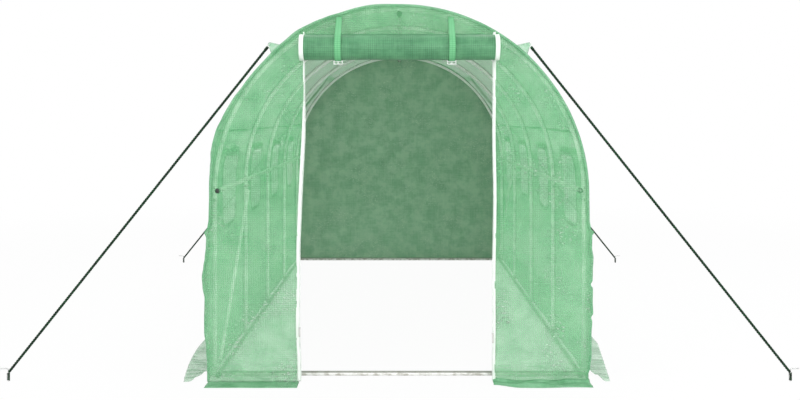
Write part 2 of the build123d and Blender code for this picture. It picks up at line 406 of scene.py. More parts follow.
def woven_sheet(
    name, pale, deep, clear=0.2, glow=0.15, crush=1.0, grid=0.3, hoop_shade=0.0, rucked=0.0, pleated=0.0
):
    """Woven sheet: a scrim of thicker threads, a little see-through, lit through from behind, with
    painted glints on its crinkles.

    A sheet with hoop shade has a painted shadow line on each side of every hoop, where it lies on
    the tube. A rucked one lies double in small folds along its foot, with painted shade in the
    folds and painted light towards the foot; a pleated one lies in narrow folds across, with
    painted shade in them.
    """
    paint = Paint(name)
    flat = paint.place("UV")
    place = paint.place()
    along, across = paint.split(flat, 0), paint.split(flat, 1)
    wander = paint.fuzz(flat, 0.06, 1.0) * 0.003
    warp = paint.stripes(along + wander, 0.0098, 0.0023)
    weft = paint.stripes(across + wander, 0.0102, 0.0023)
    scrim = paint.math("MAXIMUM", warp, weft)
    streak = paint.fuzz(paint.place("UV", (1, 0.05, 1)), 0.009, 2.0)
    streak = streak + paint.fuzz(paint.place("UV", (0.05, 1, 1)), 0.009, 2.0)
    cloud = paint.fuzz(flat, 0.13, 5.0, 0.65)
    patch = paint.step(paint.fuzz(flat, 0.24, 2.0), 0.4, 0.62)
    # painted highlights: pale specks stand in for glints on the sheet's crinkles; the same specks
    # raise its bump and let less through
    flecks = paint.fuzz(paint.place("UV", (1.2, 1.8, 1)), 0.021, 4.0, 0.68)
    flecks = paint.step(flecks, 0.54, 0.64) * paint.step(paint.fuzz(flat, 0.24, 3.0), 0.5, 0.62)
    # painted light: a rucked sheet is paler towards its foot, as if lit by the bright floor seen
    # through it, with more painted glints there
    pale_foot = (1 - paint.step(across, 0.1, 1.1)) * rucked
    flecks = flecks * (1 + 0.7 * pale_foot)
    colour = paint.mix(paint.step(cloud, 0.36, 0.66), deep, pale)
    colour = paint.mix(pale_foot * 0.3, colour, tint(214, 238, 220))
    thread = (*[share * 0.6 for share in deep[:3]], 1.0)
    colour = paint.mix(scrim * grid * (0.4 + 0.6 * patch), colour, thread)
    colour = paint.mix(paint.step(streak, 0.85, 1.25) * 0.35, colour, pale)
    colour = paint.mix(flecks * 0.45 * crush, colour, tint(222, 242, 226))
    # painted shadow: a dark line on each side of every hoop, where the tube shades the cloth; there
    # the sheet also lets less light through
    nearest = paint.math("PINGPONG", across - hoop_ys[0], bay / 2)
    hoop_shade_mask = paint.step(nearest, 0.006, 0.01) * (1 - paint.step(nearest, 0.014, 0.021)) * hoop_shade
    colour = paint.mix(hoop_shade_mask, colour, tint(44, 62, 48))
    # painted shade in the folds: their colour is darkened to the threads' tone; they also let less
    # through, as the cloth lies double there
    fold = paint.fuzz(paint.place("UV", (0.5, 4.0, 1)), 0.05, 3.0)
    fold = paint.step(fold, 0.52, 0.6) * (1 - paint.step(across, 0.05, 0.14)) * rucked * 0.25
    if pleated:
        pleat = paint.stripes(along + paint.fuzz(flat, 0.16, 2.0) * 0.12, 0.062, 0.017)
        fold = pleat * paint.step(paint.fuzz(flat, 0.09, 1.0), 0.38, 0.5) * pleated
        fold = fold * paint.step(paint.math("ABSOLUTE", along), 1.0, 1.7, 0.25, 1.0)
    colour = paint.mix(fold * 0.85, colour, thread)
    height = scrim * 0.3 + flecks * 0.5 * crush + paint.fuzz(place, 0.05, 4.0, 0.6) * 1.8 * crush
    height = height + paint.fuzz(place, 0.012, 3.0, 0.6) * 0.25 * crush
    sockets = {
        "Base Color": colour,
        "Roughness": 0.36 + 0.24 * cloud,
        "Specular IOR Level": 0.35,
        "Normal": paint.bump(height, 0.0024),
    }
    lit = paint.node("ShaderNodeBsdfTranslucent", None, {"Color": pale})
    shader = paint.blend(glow * (1 - hoop_shade_mask), paint.principled(sockets), lit)
    opening = clear * (1 - 0.22 * scrim) * (0.6 + 0.8 * cloud) * (1 - hoop_shade_mask) * (1 - 0.8 * fold)
    opening = opening * (1 - 0.15 * pale_foot) * (1 - 0.3 * crush * flecks)
    return paint.close(paint.blend(opening, shader, paint.clear()))


def flat_sheet(low, high, cell):
    """A flat grid of cloth between two corners, in its own metres."""
    size = [b - a for a, b in zip(low, high)]
    bm = bmesh.new()
    counts = [max(2, round(side / cell)) for side in size]
    bmesh.ops.create_grid(bm, x_segments=counts[0], y_segments=counts[1], size=0.5)
    middle = ((low[0] + high[0]) / 2, (low[1] + high[1]) / 2, 0)
    place = Matrix.Translation(middle) @ Matrix.Diagonal((*size, 1, 1))
    bmesh.ops.transform(bm, matrix=place, verts=bm.verts)
    return bm


def trim(bm, spare, cell):
    """Cut away the cloth where spare(x, y), the distance to the cut, is negative."""
    cut = [face for face in bm.faces if spare(*face.calc_center_median().xy) < 0]
    bmesh.ops.delete(bm, geom=cut, context="FACES")
    edge = {v for e in bm.edges if e.is_boundary for v in e.verts}
    for vert in edge:
        if abs(spare(*vert.co.xy)) < cell * 1.1:
            for _ in range(3):
                x, y = vert.co.xy
                gap, small = spare(x, y), cell * 0.05
                slope = Vector((spare(x + small, y) - gap, spare(x, y + small) - gap)) / small
                if slope.length > 0.3:
                    vert.co.xy -= slope.normalized() * gap
    bmesh.ops.dissolve_degenerate(bm, dist=1e-5, edges=bm.edges)


def keep_cut(bm, scale=1.0):
    """Keep the flat cut as UV in metres."""
    layer = bm.loops.layers.uv.new("flat")
    for face in bm.faces:
        for loop in face.loops:
            loop[layer].uv = loop.vert.co.xy * scale


def drape(bm, shape):
    """Keep the flat cut, then carry every point to its place."""
    keep_cut(bm)
    for vert in bm.verts:
        vert.co = shape(vert.co.x, vert.co.y)


def smooth(low, high, value):
    share = min(1.0, max(0.0, (value - low) / (high - low)))
    return share * share * (3 - 2 * share)


def waves(x, y, seed):
    """Soft noise from -1 to 1."""
    return noise.noise(Vector((x, y, seed))) * 1.6


def crinkle(x, y, seed):
    """Narrow ridges from 0 to 1, as in a stiff sheet that was folded for a long time."""
    return max(0.0, 1 - abs(noise.noise(Vector((x, y, seed)))) * 5.5) ** 2


def front_y(z):
    """The door end leans out from the springing line down to its foot."""
    return -end_y - end_lean * (1 - min(1.0, z / spring_z)) ** 1.3


def rear_y(z):
    return end_y + end_lean * 0.4 * (1 - min(1.0, z / spring_z)) ** 1.3


def hoop_share(y):
    """0 at a hoop, 1 half-way between two; past the end hoops it stays 0."""
    if not hoop_ys[0] < y < hoop_ys[4]:
        return 0.0
    return sin(pi * (y - hoop_ys[0]) / bay) ** 2


# how far the loose edge stands off the hoop's curve at the door end: pairs of the distance down
# the cover from the crown and the stand-off, both in metres, for the left and the right half
edge_swell = {
    -1: (
        (0.0, 0.006), (0.16, 0.014), (0.31, 0.011), (0.39, 0.015), (0.47, 0.019), (0.56, 0.022),
        (0.65, 0.014), (0.8, 0.006), (0.96, 0.006), (1.06, 0.014), (1.16, 0.019), (1.23, 0.025),
        (1.29, 0.023), (1.34, 0.02), (1.4, 0.01), (1.47, 0.005), (1.57, 0.002), (1.7, 0.004),
        (1.745, 0.01), (1.768, 0.026), (1.795, 0.016), (1.845, 0.017), (1.9, 0.022), (1.95, 0.029),
        (2.0, 0.036), (2.05, 0.032), (2.115, 0.02), (2.2, 0.021), (2.28, 0.02), (2.37, 0.008),
        (2.47, 0.001), (2.6, -0.001),
    ),
    1: (
        (0.0, 0.006), (0.2, 0.006), (0.45, 0.005), (0.65, 0.004), (0.9, 0.0), (1.57, 0.0),
        (1.7, 0.001), (1.755, 0.008), (1.768, 0.028), (1.78, 0.014), (1.85, 0.012), (1.9, 0.019),
        (1.97, 0.015), (2.02, 0.013), (2.04, 0.002), (2.06, 0.014), (2.14, 0.012), (2.19, 0.014),
        (2.21, 0.002), (2.23, 0.008), (2.3, 0.003), (2.4, 0.002), (2.47, -0.006), (2.5, -0.016),
        (2.6, -0.014),
    ),
}


def flare(side, y, z, past=None):
    """How far the cover stands out near its ends, past the end hoops."""
    if past is None:
        rise = min(1.0, max(0.0, (z - spring_z) / cover_r))
        past = cover_r * acos(rise) + max(0.0, spring_z - z)
    held = 0.03 + 0.32 * (1 - smooth(0.6, 1.0, z))
    inner, outer = (hoop_ys[0] + held, -end_y) if y < 0 else (hoop_ys[4] - held, end_y)
    loose = smooth(inner, outer, y)
    if loose == 0.0:
        return 0.0
    table = edge_swell[side if y < 0 else -side]
    for (from_run, low), (to_run, high) in zip(table, table[1:]):
        if past <= to_run:
            share = smooth(from_run, to_run, past)
            return (low + (high - low) * share) * loose * (1.0 if y < 0 else 0.6)
    return table[-1][1] * loose


def round_cover(run):
    """A run along the cover: its side, the way from the crown, the turn and the turn's centre."""
    past = abs(run - half_run)
    centre_z = spring_z - max(0.0, past - pi / 2 * cover_r)
    return -1 if run < half_run else 1, past, min(pi / 2, past / cover_r), centre_z


def cover_point(run, y, lift=0.0):
    """A point of the cover: run goes up the left wall, over the roof and down the right wall."""
    side, past, turn, centre_z = round_cover(run)
    outward = Vector((side * sin(turn), 0, cos(turn)))
    z = centre_z + cover_r * cos(turn)
    slack = hoop_share(y)
    dip = -0.007 * slack * smooth(0.9, 1.5, z)
    dip += 0.008 * slack * waves(run * 1.7, y * 1.3, 3.1)
    dip += 0.004 * slack * waves(run * 4, y * 3.3, 9.4)
    rough = 0.35 + 0.65 * slack
    dip += 0.0028 * rough * crinkle(run * 3.1 + y * 0.8, y * 3.3 - run * 0.6, 5.2)
    dip += 0.0014 * crinkle(run * 8, y * 8.5, 1.7)
    low_wall = (1 - smooth(0.15, 0.95, z)) * (0.2 + 0.8 * smooth(0.0, 0.2, z))
    dip += low_wall * slack * (0.012 + 0.014 * waves(run * 2.2, y * 2.6, 6.6))
    if slack < 0.02:
        dip = max(dip, 0.0002)
    dip += flare(side, y, z, past)
    point = outward * (cover_r + dip + lift)
    point.y = y
    point.z = z + outward.z * (dip + lift)
    limit = front_y(z) if y < 0 else rear_y(z)
    held = hoop_ys[0] if y < 0 else hoop_ys[4]
    if abs(y) > abs(held):
        point.y = held + (y - held) / (copysign(end_y, y) - held) * (limit - held)
    return point


# the cover has painted shadow lines beside every hoop
cover_finish = woven_sheet(
    "cover_sheet", tint(154, 214, 168), tint(120, 190, 140), clear=0.5, hoop_shade=0.7
)
roof_ends = (wall_run - lap, 2 * half_run - wall_run + lap)
cell = 0.017
bm = flat_sheet((roof_ends[0], -end_y), (roof_ends[1], end_y), cell)
drape(bm, lambda run, y: cover_point(run, y, over_wall))
roof = piece(bm, "roof_sheet", cover_finish, ["roof_cover"], cover_t)
roof_ends[1] - roof_ends[0]

window_half_y = 0.21
window_ys = [(a + b) / 2 for a, b in zip(hoop_ys, hoop_ys[1:])]
window_low, window_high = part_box("left_window_nets")
window_top_run = spring_z + asin((window_high.z - spring_z) / cover_r) * cover_r
window_mid_run = (window_low.z + window_top_run) / 2
window_half_run = (window_top_run - window_low.z) / 2
window_corner = 0.07


def window_spare(run, y):
    """Distance outside the nearest window's rounded opening, negative inside it."""
    from_foot = min(run, 2 * half_run - run)
    nearest = min(window_ys, key=lambda middle: abs(y - middle))
    a = abs(from_foot - window_mid_run) - window_half_run + window_corner
    b = abs(y - nearest) - window_half_y + window_corner
    return hypot(max(a, 0), max(b, 0)) + min(max(a, b), 0) - window_corner


for side, name, ends in (
    (-1, "left", (0.004, wall_run)),
    (1, "right", (2 * half_run - wall_run, 2 * half_run - 0.004)),
):
    bm = flat_sheet((ends[0], -end_y), (ends[1], end_y), cell)
    trim(bm, window_spare, cell)
    drape(bm, cover_point)
    covered = [f"{name}_wall_cover"]
    wall = piece(bm, f"{name}_wall_sheet", cover_finish, covered, cover_t)
    ends[1] - ends[0]

# Door end: a panel on each side of the doorway and one over it, of the same woven sheet. They
# are sewn to the cover's edge in a bound seam, and lean out a little towards the ground.

# the front sheets have painted glints on their crinkles, and painted light and painted shade in the
# folds along their foot
front_finish = woven_sheet(
    "front_sheet", tint(138, 214, 157), tint(100, 185, 126), 0.72, crush=1.5, grid=0.32, rucked=1.0
)
header_finish = woven_sheet("header_sheet", tint(126, 202, 144), tint(94, 176, 118), 0.66)
zip_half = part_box("door_zips")[1].x
inner = zip_half - 0.004
header_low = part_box("door_header")[0].z
outline_r = cover_r + cover_t


sheet_foot = 0.002


def zip_x(side, z):
    """Where the zip's outer edge runs: the panels stand wider apart near the ground."""
    wide = 0.023 * (1 - smooth(0.65, 1.35, z)) * (0.55 + 0.45 * smooth(0.05, 0.4, z))
    if side > 0:
        wide = -0.006 - 0.009 * (1 - smooth(0.1, 0.7, z))
    free = smooth(0.0, 0.3, z) * (1 - smooth(1.5, 1.8, z))
    return side * (inner + wide + 0.004 * waves(z * 2.6, side * 7.0, 2.0) * free)


def zip_cover(side, z):
    """How much of the zip's tape is hidden by the panel's hem, most near the top at the left."""
    return 0.0115 * smooth(1.2, 1.6, z) if side < 0 else 0.004


def front_relief(x, z, side):
    """Creases of a front sheet, none where it is sewn to the arch."""
    radius = hypot(x, max(0.0, z - spring_z))
    free = 1 - smooth(outline_r - 0.16, outline_r, radius)
    free *= 0.35 + 0.65 * smooth(0.0, 0.12, z)
    out = 0.010 * waves(x * 2.2, z * 1.5, 4.0 + side) + 0.004 * waves(x * 6, z * 5, 8.0 + side)
    out += 0.0045 * crinkle(x * 2.6 + z * 1.4, z * 2.4 - x, 7.0 + side)
    out += 0.002 * crinkle(x * 7, z * 7.5, 3.0 + side)
    low = 1 - smooth(0.15, 0.75, z)
    out += low * 0.0045 * waves(x * 9, z * 0.7, 1.0 + side)
    # the lower part was folded small and stays crumpled, most of all along its foot
    out += low * 0.005 * crinkle(x * 9 + z * 4, z * 8 - x * 3, 14.0 + side)
    out += low * 0.003 * crinkle(x * 19, z * 17, 17.0 + side)
    foot = smooth(0.0, 0.03, z) * (1 - smooth(0.06, 0.16, z))
    out += foot * 0.007 * crinkle(x * 4, z * 20, 19.0 + side)
    return out * free


def arch_spare(x, z):
    """Distance inside the arch's outline, negative outside it."""
    if z > spring_z:
        return outline_r - hypot(x, z - spring_z)
    return outline_r - abs(x)


def follow_edge(x, z, end, band):
    """Move a point near the arch out with the cover's loose edge; tell how far out it lay."""
    middle = Vector((0, 0, min(z, spring_z)))
    place = Vector((x, 0, z))
    reach = (place - middle).length
    out = flare(-1 if x < 0 else 1, end * end_y, z) * smooth(outline_r - band, outline_r, reach)
    return place + (place - middle).normalized() * out, reach


cell = 0.0125
for side, name in both_sides:
    ends = sorted((side * inner, side * outline_r))
    bm = flat_sheet((ends[0], sheet_foot), (ends[1], 1.86), cell)
    trim(bm, arch_spare, cell)

    def front_point(x, z):
        share = (abs(x) - inner) / (outline_r - inner)
        edge = abs(zip_x(side, z)) - zip_cover(side, z)
        place = follow_edge(side * (edge + share * (outline_r - edge)), z, -1, 0.2)[0]
        place.y = front_y(z) - 0.0012 - front_relief(x, z, side)
        return place

    drape(bm, front_point)
    covered = [f"front_{name}_panel"]
    panel = piece(bm, f"front_{name}_sheet", front_finish, covered, cover_t)

cell = 0.011
bm = flat_sheet((-inner, header_low - 0.055), (inner, spring_z + outline_r), cell)
trim(bm, arch_spare, cell)


def header_point(x, z):
    place = follow_edge(x, z, -1, 0.12)[0]
    place.y = front_y(z) - 0.001 - 0.5 * front_relief(x, z, 0)
    return place


drape(bm, header_point)
header = piece(bm, "header_sheet", header_finish, ["door_header"], cover_t)

# Closed end: one sheet of the same cloth, sewn in all round and held down by its foot. Little
# light comes through it from behind, so from the doorway it looks darker than the rest.

rear_finish = woven_sheet("rear_sheet", tint(174, 212, 180), tint(130, 184, 146), 0.15, glow=0.2)
cell = 0.0155
bm = flat_sheet((-outline_r, sheet_foot), (outline_r, spring_z + outline_r), cell)
trim(bm, arch_spare, cell)


def rear_point(x, z):
    place, reach = follow_edge(x, z, 1, 0.2)
    free = 1 - smooth(outline_r - 0.15, outline_r, reach)
    out = 0.008 * waves(x * 1.6, z * 1.4, 21.0) + 0.003 * waves(x * 5, z * 5, 23.0)
    out += 0.003 * crinkle(x * 2.3 + z, z * 2.2 - x, 27.0) + 0.0014 * crinkle(x * 7, z * 7, 29.0)
    place.y = rear_y(z) + 0.0005 + max(out, -0.004) * free
    return place


drape(bm, rear_point)
bmesh.ops.reverse_faces(bm, faces=bm.faces)
rear = piece(bm, "rear_sheet", rear_finish, ["rear_panel"], cover_t)

# Binding: a folded strip of the sheet over the corner seam at each end, sewn with two rows of
# stitches. It runs from the ground up one side, over the arch and down the other.

binding_finish = woven_sheet("binding_sheet", tint(158, 216, 174), tint(118, 192, 142), clear=0.6)
binding_width = 0.0115
for end, name in ((-1, "front"), (1, "rear")):
    bm = flat_sheet((0.004, -binding_width), (2 * half_run - 0.004, binding_width), 0.0105)

    def binding_point(run, across):
        side, past, turn, centre_z = round_cover(run)
        z = centre_z + cover_r * cos(turn)
        radius = outline_r + 0.0012 + min(0.0, across) + flare(side, end * end_y, z, past)
        face = front_y(z) - 0.0038 if end < 0 else rear_y(z) + 0.003
        x = side * radius * sin(turn)
        return Vector((x, face - end * max(0.0, across), centre_z + radius * cos(turn)))

    drape(bm, binding_point)
    if end > 0:
        bmesh.ops.reverse_faces(bm, faces=bm.faces)
    strip = piece(bm, f"{name}_binding", binding_finish, thickness=0.0011)
    cut = (2 * half_run - 0.008, 2 * binding_width)

# Door: the same woven sheet with a zip tape down both sides, rolled up outwards. It hangs from
# the header's hem, goes down behind the roll and under it, and winds in loose turns.

door_finish = woven_sheet(
    "door_sheet", tint(102, 164, 120), tint(72, 132, 92), 0.02, glow=0.1, crush=0.0, grid=1.0
)
roll_mid = centre_of("rolled_door")
roll_r = (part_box("rolled_door")[1].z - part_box("rolled_door")[0].z) / 2 - 0.0015
roll_half = 0.5175
roll_core = 0.018
roll_turns = 6.4
roll_taper = (roll_r - roll_core) / (roll_turns * 2 * pi)
roll_hang = 0.075
roll_length = (roll_r**2 - roll_core**2) / (2 * roll_taper)
tape_width = 0.022


def roll_point(x, run, lift=0.0):
    """A point of the door, run metres below the header's hem."""
    if run < roll_hang:
        return Vector((x, roll_mid.y + roll_r + lift, roll_mid.z + roll_hang - run))
    turned = (roll_r - sqrt(roll_r**2 - 2 * roll_taper * (run - roll_hang))) / roll_taper
    radius = roll_r - roll_taper * turned + lift
    loose = smooth(0.0, 1.2, turned)
    radius += loose * (0.0016 * waves(x * 2.3, turned * 1.7, 31.0) - 0.0018)
    radius += loose * 0.0013 * crinkle(x * 1.3, turned * 2.2, 33.0)
    return Vector((x, roll_mid.y + radius * cos(turned), roll_mid.z - radius * sin(turned)))


bm = flat_sheet((-roll_half, 0.0), (roll_half, roll_hang + roll_length - 0.002), 0.0095)
drape(bm, roll_point)
door = piece(bm, "door_roll", door_finish, ["rolled_door"], 0.001)
door_drop = roll_hang + roll_length

# Zips: white woven tape with moulded teeth down both sides of the doorway, sewn to the panels,
# and the door's own half of each zip, rolled up with it. Each has a slider with a pull.


def webbing(name, light, dark, pitch=0.0022):
    """Narrow woven tape: ribs across it and cords along it."""
    paint = Paint(name)
    flat = paint.place("UV")
    ribs = paint.stripes(paint.split(flat, 1), pitch, pitch * 0.5)
    cords = paint.stripes(paint.split(flat, 0), pitch * 1.3, pitch * 0.5)
    cloud = paint.fuzz(paint.place(), 0.03, 3.0)
    colour = paint.mix(ribs * 0.35 + cords * 0.2, light, dark)
    colour = paint.mix(cloud * 0.25, colour, dark)
    sockets = {
        "Base Color": colour,
        "Roughness": 0.62,
        "Specular IOR Level": 0.3,
        "Normal": paint.bump(ribs * 0.6 + cords * 0.4, 0.0005),
    }
    return paint.close(paint.principled(sockets))


tape_finish = webbing("zip_tape", tint(240, 246, 240), tint(206, 220, 208))
for side, name in both_sides:
    ends = sorted((side * (roll_half - tape_width), side * (roll_half + 0.001)))
    bm = flat_sheet((ends[0], 0.0), (ends[1], door_drop - 0.004), 0.0092)
    drape(bm, lambda x, run: roll_point(x, run, 0.0013))
    tape = piece(bm, f"door_{name}_tape", tape_finish, thickness=0.0008)
    cut = (tape_width + 0.001, door_drop - 0.004)

zip_top = header_low + 0.012
zip_width = 0.0185
bm = bmesh.new()
for side in (-1, 1):
    strip = flat_sheet((0.0, 0.006), (zip_width, zip_top), 0.0115)

    def tape_point(across, z):
        width = zip_width - zip_cover(side, z)
        place = zip_x(side, z) - side * (zip_width - 0.004 - across / zip_width * width)
        ripple = 0.0012 * sin(z * 63 + side) * (1 - across / zip_width)
        return Vector((place, front_y(z) - 0.0052 - ripple, z))

    drape(strip, tape_point)
    if side < 0:
        bmesh.ops.reverse_faces(strip, faces=strip.faces)
    join(bm, strip)
piece(bm, "zip_tapes", tape_finish, ["door_zips"], 0.0009)

tooth_pitch = 0.0031
tooth = bmesh.new()
bmesh.ops.create_cube(tooth, size=1.0, matrix=Matrix.Diagonal((0.0052, 0.0022, 0.0017, 1)))
bm = bmesh.new()
for side in (-1, 1):
    places = []
    for step_up in range(int((zip_top - 0.02) / tooth_pitch)):
        z = 0.012 + step_up * tooth_pitch
        x = zip_x(side, z) - side * (zip_width - 0.0025)
        places.append(Matrix.Translation((x, front_y(z) - 0.0062, z)))
    stamp(bm, tooth, places)
tooth.free()
moulded_finish = clouded(
    "zip_plastic", 0.02, 2.0, tint(226, 230, 226), tint(204, 210, 206), 0.35, 0.15, 0.0002
)
piece(bm, "zip_teeth", moulded_finish, rounded=False)

slider = bmesh.new()
bmesh.ops.create_cube(slider, size=1.0, matrix=Matrix.Diagonal((0.011, 0.006, 0.015, 1)))
for vert in slider.verts:
    if vert.co.z < 0:
        vert.co.x *= 0.62
bridge = Matrix.Translation((0, -0.0042, 0.001)) @ Matrix.Diagonal((0.0035, 0.004, 0.009, 1))
bmesh.ops.create_cube(slider, size=1.0, matrix=bridge)
pull = Matrix.Translation((0, -0.0058, -0.022)) @ Matrix.Diagonal((0.009, 0.0018, 0.042, 1))
bmesh.ops.create_cube(slider, size=1.0, matrix=pull)
bm = bmesh.new()
for side, z in ((-1, 0.276), (1, 0.246)):
    x = zip_x(side, z) - side * (zip_width - 0.0035)
    stamp(bm, slider, [Matrix.Translation((x, front_y(z) - 0.0065, z))])
slider.free()
sliders = piece(bm, "zip_sliders", zinc_finish)
bevel_edges(sliders, 0.0008)

# Straps: green polypropylene webbing sewn to the header, over the front of the roll and under
# it, each with a white moulded buckle where it is drawn tight.

strap_finish = webbing("strap_webbing", tint(110, 182, 130), tint(70, 138, 92), 0.0102)
strap_low, strap_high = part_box("door_straps")
strap_width = 0.031
strap_mids = (strap_low.x + 0.016, strap_high.x - 0.016)
strap_ring = roll_r + 0.0035
strap_top = Vector((0, front_y(strap_high.z) - 0.0045, strap_high.z))
strap_y, strap_z = strap_top.y - roll_mid.y, strap_top.z - roll_mid.z
strap_start = atan2(strap_z, strap_y) + acos(strap_ring / hypot(strap_y, strap_z))
strap_hang = sqrt(strap_y**2 + strap_z**2 - strap_ring**2)
strap_length = strap_hang + strap_ring * radians(205)
bm = bmesh.new()
for mid in strap_mids:
    strip = flat_sheet((-strap_width / 2, 0.0), (strap_width / 2, strap_length), 0.0075)

    def strap_point(x, run):
        turned, ring, share = strap_start, strap_ring, run / strap_hang
        if share >= 1:
            turned += (run - strap_hang) / strap_ring
            ring += 0.0006 * sin(run * 90)
        y, z = roll_mid.y + ring * cos(turned), roll_mid.z + ring * sin(turned)
        if share < 1:
            flap = 0.0015 * sin(run * 40) * smooth(0.02, 0.06, run)
            y = strap_top.y + (y - strap_top.y) * share - flap * (1 - smooth(0.1, 0.16, run))
            z = strap_top.z + (z - strap_top.z) * share
        return Vector((mid + x * (1.0 + 0.1 * smooth(0.0, strap_hang, run)), y, z))

    drape(strip, strap_point)
    join(bm, strip)
piece(bm, "door_strap_webbing", strap_finish, ["door_straps"], 0.0018, 0.0)

buckle = bmesh.new()
bmesh.ops.create_grid(buckle, x_segments=5, y_segments=3, size=0.5)
columns = (-0.024, -0.019, -0.0025, 0.0025, 0.019, 0.024)
rows = (-0.011, -0.0065, 0.004, 0.010)
for vert in buckle.verts:
    vert.co.x = columns[round((vert.co.x + 0.5) * 5)]
    vert.co.y = rows[round((vert.co.y + 0.5) * 3)]
holes = [f for f in buckle.faces if 0.0025 < abs(f.calc_center_median().x) < 0.019
         and -0.0065 < f.calc_center_median().y < 0.004]
bmesh.ops.delete(buckle, geom=holes, context="FACES")
bmesh.ops.solidify(buckle, geom=buckle.faces[:], thickness=0.005)
bm = bmesh.new()
stand = Matrix.Rotation(radians(78), 4, "X")
for mid in strap_mids:
    under = Matrix.Translation((mid, roll_mid.y - 0.012, roll_mid.z - roll_r - 0.009))
    stamp(bm, buckle, [under @ stand])
buckle.free()
buckles = piece(bm, "strap_buckles", moulded_finish)
bevel_edges(buckles, 0.001)

# Windows: rounded openings in the walls with fine insect net behind them, bound all round, and
# above each a clear curtain rolled up in two ties.


def insect_net():
    """Knitted net with a mesh of about two millimetres."""
    paint = Paint("insect_net")
    flat = paint.place("UV")
    one = paint.stripes(paint.split(flat, 0), 0.0021, 0.0005)
    two = paint.stripes(paint.split(flat, 1), 0.0021, 0.0005)
    threads = paint.math("MAXIMUM", one, two)
    cloud = paint.fuzz(paint.place(), 0.07, 3.0)
    sockets = {
        "Base Color": paint.mix(cloud, tint(196, 226, 204), tint(224, 240, 228)),
        "Roughness": 0.6,
        "Normal": paint.bump(threads, 0.0004),
    }
    covered = 0.06 + 0.94 * threads
    return paint.close(paint.blend(covered, paint.clear(), paint.principled(sockets)))


def clear_film():
    """Clear plastic film, creased and a little milky."""
    paint = Paint("clear_film")
    place = paint.place()
    crease = paint.fuzz(paint.place("Object", (1, 0.2, 1)), 0.02, 3.0)
    milk = paint.step(crease, 0.35, 0.7)
    sockets = {
        "Base Color": paint.mix(milk, tint(196, 224, 206), tint(232, 242, 234)),
        "Roughness": 0.14 + 0.2 * milk,
        "Specular IOR Level": 0.6,
        "Normal": paint.bump(crease + paint.fuzz(place, 0.006, 2.0) * 0.2, 0.002),
    }
    covered = 0.55 + 0.3 * milk
    return paint.close(paint.blend(covered, paint.clear(), paint.principled(sockets)))


net_finish = insect_net()
film_finish = clear_film()
window_binding = woven_sheet("window_binding", tint(190, 228, 200), tint(140, 196, 156), clear=0.08)
net_spare = 0.012
binding_half = 0.013
cell = 0.016


def window_edge(turn, spread):
    """From a window's middle to its rounded outline, moved out by spread, in one direction."""
    corner = window_corner + spread
    span = (window_half_run - window_corner, window_half_y - window_corner)
    pull = Vector((cos(turn), sin(turn)))
    pull /= max(abs(pull.x), abs(pull.y))
    box = Vector((pull.x * (span[0] + corner), pull.y * (span[1] + corner)))
    core = Vector([max(-half, min(half, far)) for half, far in zip(span, box)])
    if (box - core).length > 1e-9:
        return core + (box - core).normalized() * corner
    return box


for side, name in both_sides:
    mid_run = window_mid_run if side < 0 else 2 * half_run - window_mid_run
    bm = bmesh.new()
    ring_bm = bmesh.new()
    for middle in window_ys:
        reach = (window_half_run + net_spare, window_half_y + net_spare)
        low = (mid_run - reach[0], middle - reach[1])
        net = flat_sheet(low, (mid_run + reach[0], middle + reach[1]), cell)
        trim(net, lambda run, y: net_spare - window_spare(run, y), cell)
        drape(net, lambda run, y: cover_point(run, y, -0.0012))
        join(bm, net)

        ring = bmesh.new()
        loops = []
        for spread in (-binding_half + 0.004, binding_half + 0.004):
            made = bmesh.ops.create_circle(ring, cap_ends=False, radius=1.0, segments=96)["verts"]
            for vert in made:
                edge = window_edge(atan2(vert.co.y, vert.co.x), spread)
                vert.co = (mid_run + edge.x, middle + edge.y, 0)
            loops.append([e for e in ring.edges if e.verts[0] in made and e.verts[1] in made])
        bmesh.ops.bridge_loops(ring, edges=loops[0] + loops[1])
        bmesh.ops.subdivide_edges(ring, edges=[e for e in ring.edges if not e.is_boundary], cuts=1)
        face_up(ring)
        drape(ring, lambda run, y: cover_point(run, y, over_wall))
        join(ring_bm, ring)
    piece(bm, f"{name}_nets", net_finish, [f"{name}_window_nets"], 0.0006)
    piece(ring_bm, f"{name}_window_bindings", window_binding, thickness=0.001)

    curtain_mid = centre_of(f"{name}_window_curtains")
    curtain_r = 0.0215
    curtain_turns = 3.2
    curtain_taper = (curtain_r - 0.006) / (curtain_turns * 2 * pi)
    curtain_half = 0.25
    curtain_drop = 0.27
    bm = bmesh.new()
    for middle in window_ys:
        ends = (middle - curtain_half, middle + curtain_half)
        film = flat_sheet((ends[0], 0.0), (ends[1], curtain_drop), 0.0085)

        def film_point(y, run):
            left = sqrt(max(0.0, curtain_r**2 - 2 * curtain_taper * run))
            turned = (curtain_r - left) / curtain_taper
            radius = curtain_r - curtain_taper * turned
            radius += 0.0012 * waves(y * 7, turned * 1.2, side * 5.0) - 0.0012
            start = turned + 0.6
            x = curtain_mid.x - side * radius * cos(start)
            return Vector((x, y, curtain_mid.z - radius * sin(start)))

        drape(film, film_point)
        join(bm, film)
    rolled = [f"{name}_window_curtains"]
    piece(bm, f"{name}_curtain_rolls", film_finish, rolled, 0.0007)

    tie_width = 0.022
    band = bmesh.new()
    bmesh.ops.create_circle(band, cap_ends=False, radius=curtain_r + 0.0012, segments=28)
    grown = bmesh.ops.extrude_edge_only(band, edges=band.edges[:])
    up = [v for v in grown["geom"] if isinstance(v, bmesh.types.BMVert)]
    bmesh.ops.translate(band, verts=up, vec=(0, 0, tie_width))
    bmesh.ops.solidify(band, geom=band.faces[:], thickness=0.0014)
    bm = bmesh.new()
    for middle in window_ys:
        for offset in (-0.15, 0.15):
            foot = (curtain_mid.x, middle + offset - tie_width / 2, curtain_mid.z)
            stamp(bm, band, [facing(foot, (0, 1, 0))])
    band.free()
    piece(bm, f"{name}_curtain_ties", tape_finish)
